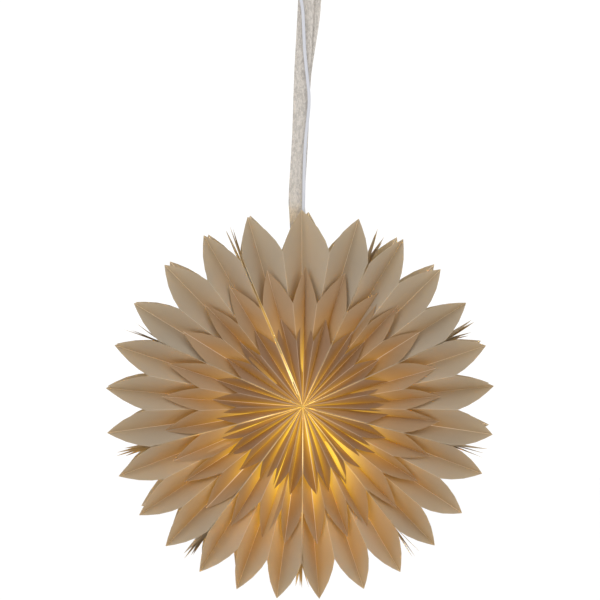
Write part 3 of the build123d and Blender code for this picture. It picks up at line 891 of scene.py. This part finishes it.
class STAR_OT_closure(bpy.types.Operator):
    """Give the closure pads their hook and loop tape"""

    bl_idname = "star.closure"
    bl_label = "Closure pads"

    def execute(self, context):
        paint("closure_hook_pads", tape_finish("hook_tape", (0.80, 0.82, 0.88), True))
        paint("closure_loop_pads", tape_finish("loop_tape", (0.84, 0.85, 0.90), False))
        return {"FINISHED"}


def paint(node, material):
    """Puts a material on a CAD node."""
    mesh = frame["nodes"][node].data
    mesh.materials.clear()
    mesh.materials.append(material)


# ------------------------------------------------------------------ the ribbon


def ribbon_centres():
    """The ribbon's centre line: up the left strand, over the hook and down the right strand."""
    bend = HOOK_RADIUS + RIBBON_HALF
    over = [
        (0.0, -bend * math.cos(t), -HOOK_RADIUS + bend * math.sin(t))
        for t in [math.pi * i / 12 for i in range(13)]
    ]
    return list(reversed(LEFT_STRAND)) + over[1:-1] + RIGHT_STRAND


def route_curve(name, points, resolution):
    """A curve of one smooth spline whose control points are the route's."""
    curve = bpy.data.curves.new(name, "CURVE")
    curve.dimensions = "3D"
    curve.resolution_u = resolution
    spline = curve.splines.new("NURBS")
    spline.points.add(len(points) - 1)
    for target, point in zip(spline.points, points):
        target.co = (*point, 1)
    spline.order_u = 3
    spline.use_endpoint_u = True
    return curve


def smooth_line(points, name):
    """Points along the smooth line that these control points give."""
    holder = bpy.data.objects.new(name, route_curve(name, points, 6))
    mesh = bpy.data.meshes.new_from_object(holder)
    line = [vertex.co.copy() for vertex in mesh.vertices]
    bpy.data.objects.remove(holder)
    bpy.data.meshes.remove(mesh)
    return line


class STAR_OT_ribbon(bpy.types.Operator):
    """Weave the hanging ribbon, one band doubled over the hook"""

    bl_idname = "star.ribbon"
    bl_label = "Ribbon"

    def execute(self, context):
        settings = context.scene.star_hanging
        line = smooth_line(ribbon_centres(), "ribbon_line")
        across = (0.0, 0.04, 0.08, 0.25, 0.5, 0.75, 0.92, 0.96, 1.0)
        lengths = [0.0]
        for a, b in zip(line, line[1:]):
            lengths.append(lengths[-1] + (b - a).length)
        chance = random.Random(3)
        waves = []
        for _ in range(5):
            waves.append((chance.uniform(20, 60), chance.uniform(0, 6.3), chance.uniform(0.0001, 0.00035)))

        def place(column, row):
            here = line[row]
            ahead = (line[min(row + 1, len(line) - 1)] - line[max(row - 1, 0)]).normalized()
            wide = Vector((1, 0, 0))
            wide = (wide - ahead * wide.dot(ahead)).normalized()
            out = wide.cross(ahead)
            share = across[column] - 0.5
            ripple = sum(
                size * math.sin(rate * lengths[row] + phase + 2 * share) for rate, phase, size in waves
            )
            ripple *= abs(share) * 2
            return here + wide * (share * settings.ribbon_width) + out * ripple

        ribbon = sheet_grid(len(across) - 1, len(line) - 1, place)
        uv = ribbon.data.uv_layers.new(name="weave")
        for loop in ribbon.data.loops:
            column, row = loop.vertex_index % len(across), loop.vertex_index // len(across)
            uv.data[loop.index].uv = (across[column] * settings.ribbon_width, lengths[row])
        thicken(ribbon, settings.ribbon_sheet)
        settle(ribbon, "hanging_ribbon", ribbon_finish(settings.ribbon_colour))
        smooth(ribbon, 40)
        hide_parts("ribbon")
        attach(ribbon, "root")
        return {"FINISHED"}


# ------------------------------------------------------------------ cords


COIL_CENTRE = Vector((0.0, -0.026, -0.021))
COIL_TURNS = [
    # turns at the start and end, radii there, and how far the layer lies behind the coil's middle
    (0.0, 3.0, 0.0375, 0.0225, 0.0075),
    (3.8333, 6.8333, 0.0225, 0.0375, 0.0025),
    (7.6667, 10.6667, 0.0375, 0.0225, -0.0025),
    (11.5, 14.5, 0.0225, 0.0375, -0.0075),
]
POINTS_PER_TURN = 14


def coil_points():
    """The turns of the spare cable, clockwise from the coil's left side, in four layers from the back."""
    keys = []
    for start, end, r0, r1, depth in COIL_TURNS:
        keys += [(start, r0, depth), (end, r1, depth)]
    points = []
    total = keys[-1][0]
    for index in range(round(total * POINTS_PER_TURN) + 1):
        turn = index / POINTS_PER_TURN
        before = max((k for k in keys if k[0] <= turn), key=lambda k: k[0])
        after = min((k for k in keys if k[0] >= turn), key=lambda k: k[0])
        span = after[0] - before[0]
        share = (turn - before[0]) / span if span > 0 else 0.0
        radius, depth = mix(before[1], after[1], share), mix(before[2], after[2], share)
        angle = math.pi - 2 * math.pi * turn
        points.append(COIL_CENTRE + Vector((radius * math.cos(angle), depth, radius * math.sin(angle))))
    return points


def cable_curve(name, points, diameter, material):
    """A round cable that follows the smooth line of its route."""
    curve = route_curve(name, points, 8)
    curve.bevel_depth = diameter / 2
    curve.bevel_resolution = 4
    curve.use_fill_caps = True
    cable = bpy.data.objects.new(name, curve)
    bpy.context.collection.objects.link(cable)
    curve.materials.append(material)
    return cable


class STAR_OT_cables(bpy.types.Operator):
    """Lay the cable from the lamp to the switch, and the coiled one from the switch to the plug"""

    bl_idname = "star.cables"
    bl_label = "Cables"

    def execute(self, context):
        settings = context.scene.star_hanging
        jacket = plastic_finish("cable_jacket_white", settings.cable_colour, 0.38, 0.05)
        lamp_cable = cable_curve("lamp_cable_line", LAMP_CABLE_ROUTE, settings.cable_diameter, jacket)
        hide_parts("lamp_cable")
        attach(lamp_cable, "root")
        switch_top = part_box("switch_front_shell")[1].z
        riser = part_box("plug_cable_riser")
        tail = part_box("plug_cable_tail")
        start = ((riser[0] + riser[1]) / 2).xy
        end = ((tail[0] + tail[1]) / 2).xy
        route = [(*start, switch_top), (*start, switch_top + 0.012), (*start, switch_top + 0.026)]
        route += [tuple(point) for point in coil_points()]
        plug_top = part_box("plug_strain_relief")[1].z
        route += [(*end, plug_top + 0.024), (*end, plug_top + 0.012), (*end, plug_top)]
        plug_cable = cable_curve("plug_cable_line", route, settings.cable_diameter, jacket)
        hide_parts("plug_cable_riser", "cable_coil", "plug_cable_tail")
        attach(plug_cable, "root")
        return {"FINISHED"}


# ------------------------------------------------------------------ fittings


class STAR_OT_fittings(bpy.types.Operator):
    """Finish the switch, the plug, the lamp holder and the bulb"""

    bl_idname = "star.fittings"
    bl_label = "Fittings"

    def execute(self, context):
        hanging, lamp = context.scene.star_hanging, context.scene.star_lamp
        housing = plastic_finish("switch_plastic_white", hanging.plastic_colour, 0.3)
        rocker = plastic_finish("rocker_plastic_white", shade(hanging.plastic_colour, 1.04), 0.2)
        moulded = plastic_finish("plug_plastic_white", hanging.plastic_colour, 0.45, 0.3)
        holder = plastic_finish("holder_plastic_white", hanging.plastic_colour, 0.28)
        bulb = plastic_finish("bulb_plastic_white", shade(hanging.plastic_colour, 1.02), 0.5)
        plated = metal_finish("nickel_plate", (0.72, 0.71, 0.69), 0.16)
        brass = metal_finish("contact_brass", (0.75, 0.55, 0.25), 0.25)
        for node, material in (
            ("switch_front_shell", housing),
            ("switch_back_shell", housing),
            ("switch_rocker", rocker),
            ("plug_strain_relief", moulded),
            ("plug_body", moulded),
            ("plug_pins", plated),
            ("holder_cable_grip", holder),
            ("holder_cap", holder),
            ("holder_shell", holder),
            ("holder_insert", holder),
            ("bulb_contact", brass),
            ("bulb_screw_shell", plated),
            ("bulb_collar", bulb),
            ("bulb_globe", opal_finish(lamp.glow)),
            ("coil_tie", tape_finish("tie_tape", (0.8, 0.8, 0.8), False)),
        ):
            paint(node, material)
        return {"FINISHED"}


# ------------------------------------------------------------------ stage


def aim(thing, target):
    thing.rotation_euler = (Vector(target) - thing.location).to_track_quat("-Z", "Y").to_euler()


class STAR_OT_camera(bpy.types.Operator):
    """Set the camera in front of the star"""

    bl_idname = "star.camera"
    bl_label = "Camera"

    def execute(self, context):
        settings = context.scene.star_stage
        centre = Vector((HUB.x - 0.0005, HUB.y, HUB.z + 0.161))
        bpy.ops.object.camera_add()
        camera = context.object
        away = Vector((-math.sin(settings.turn), -math.cos(settings.turn), 0))
        camera.location = centre + away * settings.distance
        aim(camera, centre)
        camera.data.sensor_width = 36
        camera.data.lens = 36 * settings.distance / settings.view
        camera.data.clip_end = 50
        context.scene.camera = camera
        return {"FINISHED"}


class STAR_OT_stage(bpy.types.Operator):
    """Lay the pale floor under the star and set the soft studio lights"""

    bl_idname = "star.stage"
    bl_label = "Stage"

    def execute(self, context):
        settings = context.scene.star_stage
        lamp = context.scene.star_lamp
        deselect()
        bpy.ops.mesh.primitive_circle_add(
            vertices=96, radius=14, fill_type="NGON", location=(0, 0, FLOOR_LEVEL)
        )
        floor = settle(context.object, "studio_floor", stage_finish(settings.floor))

        world = bpy.data.worlds.new("soft_room")
        context.scene.world = world
        world.use_nodes = True
        world.node_tree.nodes["Background"].inputs["Color"].default_value = (1, 1, 1, 1)
        world.node_tree.nodes["Background"].inputs["Strength"].default_value = 1.06
        for name, place, size, power in (
            ("softbox_left", (-2.6, -2.8, 1.0), 2.4, 34),
            ("softbox_right", (2.9, -2.6, 0.6), 2.4, 20),
            ("softbox_back", (1.4, 3.2, 1.2), 2.2, 20),
        ):
            bpy.ops.object.light_add(type="AREA", location=place)
            light = context.object
            light.name = name
            light.data.shape = "SQUARE"
            light.data.size = size
            light.data.energy = power
            aim(light, HUB)
        low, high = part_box("bulb_globe")
        centre = (low + high) / 2
        bpy.ops.object.light_add(type="POINT", location=(centre.x, centre.y, low.z + (high.x - low.x) / 2))
        light = context.object
        light.name = "lamp_light"
        light.data.energy = lamp.power
        light.data.color = lamp.glow
        light.data.shadow_soft_size = (high.x - low.x) / 2 + 0.002
        context.scene.view_settings.view_transform = "Standard"
        return {"FINISHED"}


class STAR_PT_panel(bpy.types.Panel):
    """The star's pieces and settings, in the sidebar"""

    bl_label = "Paper Star"
    bl_idname = "STAR_PT_panel"
    bl_space_type = "VIEW_3D"
    bl_region_type = "UI"
    bl_category = "Paper Star"

    def draw(self, context):
        layout = self.layout
        for group in GROUPS:
            settings = getattr(context.scene, group)
            box = layout.box()
            for key in settings.bl_rna.properties.keys():
                if key not in ("rna_type", "name"):
                    box.prop(settings, key)
        for operator in OPERATORS:
            layout.operator(operator.bl_idname)


GROUPS = {
    "star_paper": StarPaper,
    "star_lamp": StarLamp,
    "star_hanging": StarHanging,
    "star_stage": StarStage,
}
OPERATORS = (
    STAR_OT_camera,
    STAR_OT_cables,
    STAR_OT_petals,
    STAR_OT_walls,
    STAR_OT_closure,
    STAR_OT_ribbon,
    STAR_OT_fittings,
    STAR_OT_stage,
)
CLASSES = (*GROUPS.values(), *OPERATORS, STAR_PT_panel)


def register():
    for cls in CLASSES:
        bpy.utils.register_class(cls)
    for name, cls in GROUPS.items():
        setattr(bpy.types.Scene, name, bpy.props.PointerProperty(type=cls))


def unregister():
    for name in GROUPS:
        delattr(bpy.types.Scene, name)
    for cls in reversed(CLASSES):
        bpy.utils.unregister_class(cls)


def main():
    register()
    deselect()
    bpy.ops.star.camera()
    bpy.ops.star.cables()
    bpy.ops.star.petals()
    bpy.ops.star.walls()
    bpy.ops.star.closure()
    bpy.ops.star.ribbon()
    bpy.ops.star.fittings()
    bpy.ops.star.stage()


if __name__ == "__main__":
    main()
